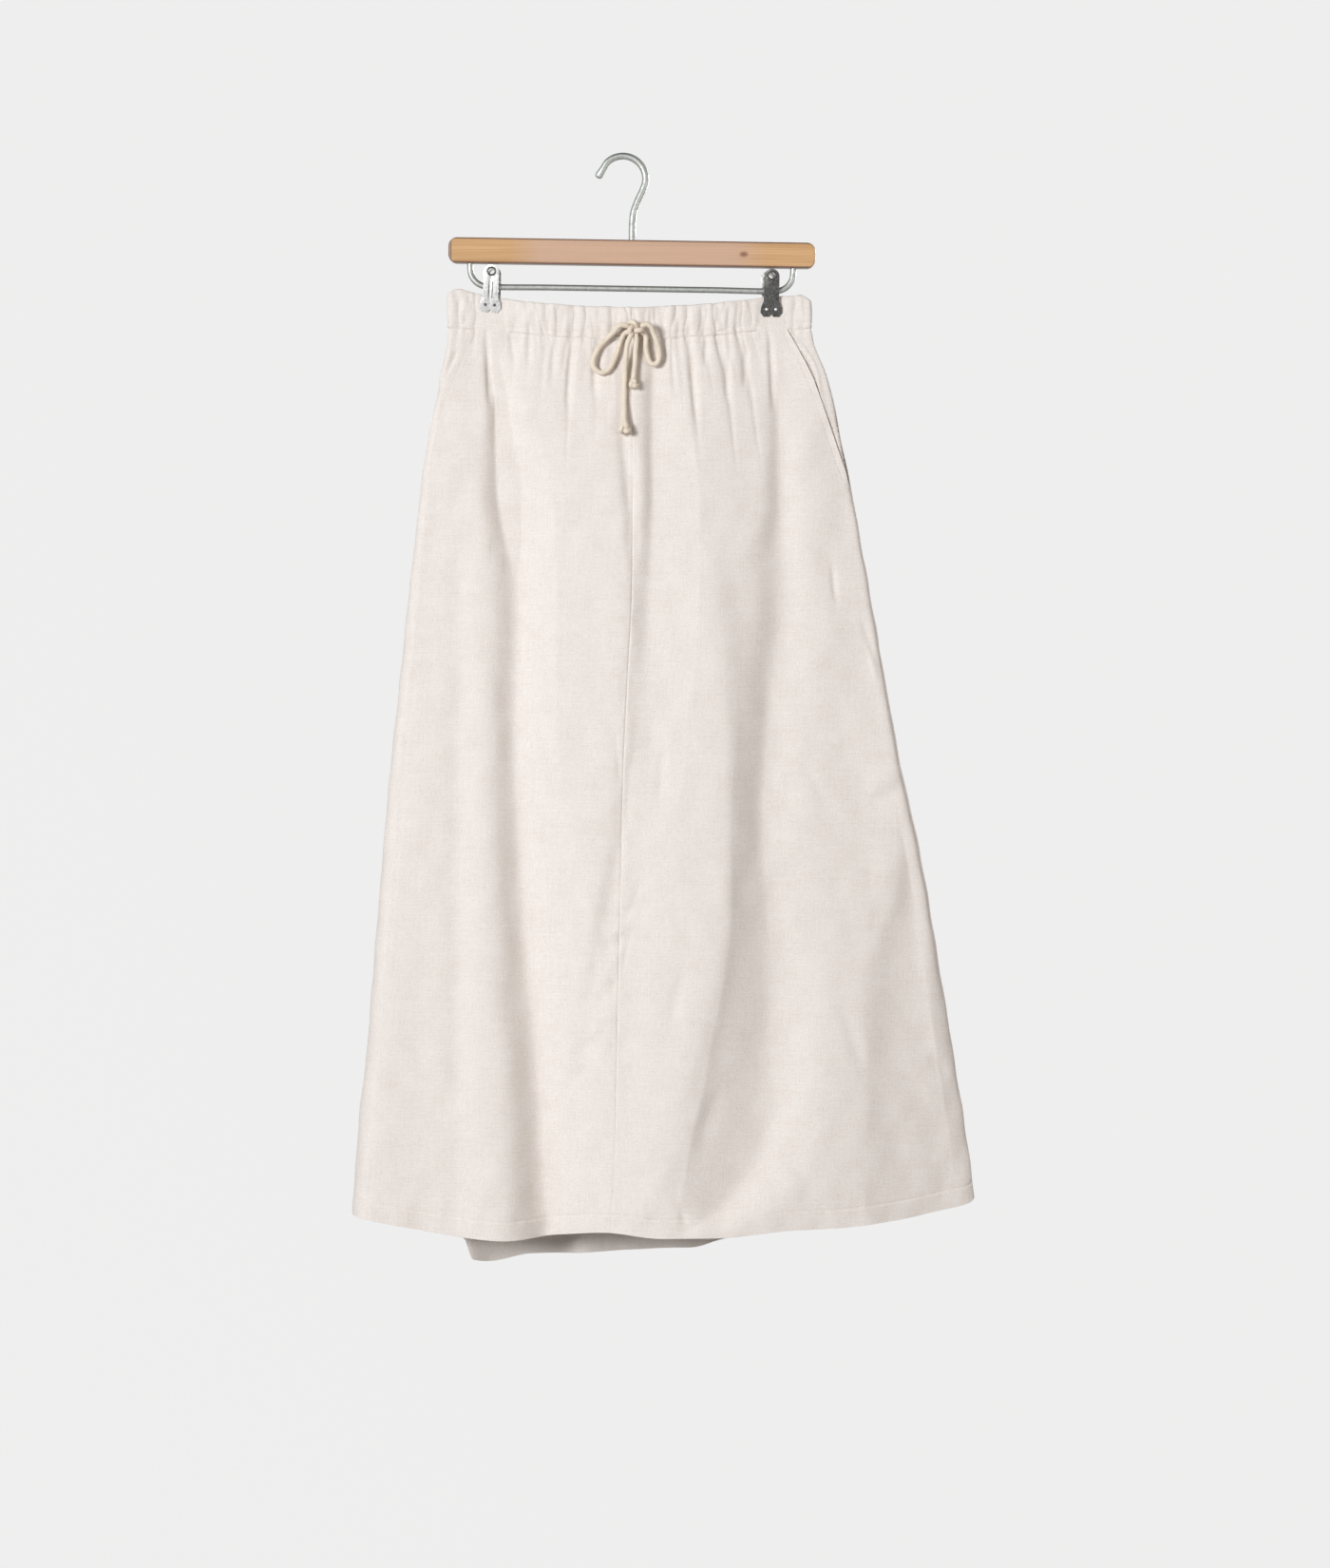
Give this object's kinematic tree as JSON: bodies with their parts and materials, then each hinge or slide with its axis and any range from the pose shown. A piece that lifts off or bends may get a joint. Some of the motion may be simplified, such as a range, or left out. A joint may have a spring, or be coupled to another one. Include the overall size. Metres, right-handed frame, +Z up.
{
  "type": "maxi skirt on a clip hanger",
  "caption": "Long A-line skirt with a gathered drawstring waistband, slanted pocket edges and soft folds, hanging flat from a wooden bar hanger with a wire hook and clips",
  "frame": {"origin": "the inner top of the hanger's hook, where a rail or a peg holds it", "axes": "+Z up along the hung length, the front with the drawstring bow faces -Y, and the front's right side as seen from in front is at +X"},
  "size_m": [0.609, 0.1132, 1.0881],
  "materials": {
    "skirt_cloth": "off-white plain-woven linen and cotton cloth with slubs",
    "pocket_cloth": "the same cloth, in the shade of the pocket edge",
    "band_cloth": "the same cloth, folded over elastic",
    "cotton_cord": "natural braided cotton cord",
    "hanger_wood": "natural wood with a satin lacquer",
    "hanger_steel": "satin steel wire",
    "clip_zinc": "bright zinc-plated pressed steel",
    "clip_dark_steel": "dark plated pressed steel"
  },
  "bodies": {
    "root": {"skirt_front_left": "skirt_cloth", "skirt_front_right": "skirt_cloth", "skirt_back": "skirt_cloth", "pocket_side_left": "pocket_cloth", "pocket_side_right": "pocket_cloth", "waistband_front": "band_cloth", "waistband_back": "band_cloth", "bow_knot": "cotton_cord", "bow_loop_left": "cotton_cord", "bow_loop_right": "cotton_cord", "drawstring_long_tail": "cotton_cord", "drawstring_short_tail": "cotton_cord", "drawstring_long_knot": "cotton_cord", "drawstring_short_knot": "cotton_cord", "hanger_bar": "hanger_wood", "hanger_hook": "hanger_steel", "hanger_rod": "hanger_steel", "clip_left_front_plate": "clip_zinc", "clip_left_back_plate": "clip_zinc", "clip_left_spring": "clip_zinc", "clip_right_front_plate": "clip_dark_steel", "clip_right_back_plate": "clip_dark_steel", "clip_right_spring": "clip_dark_steel"}
  },
  "joints": []
}
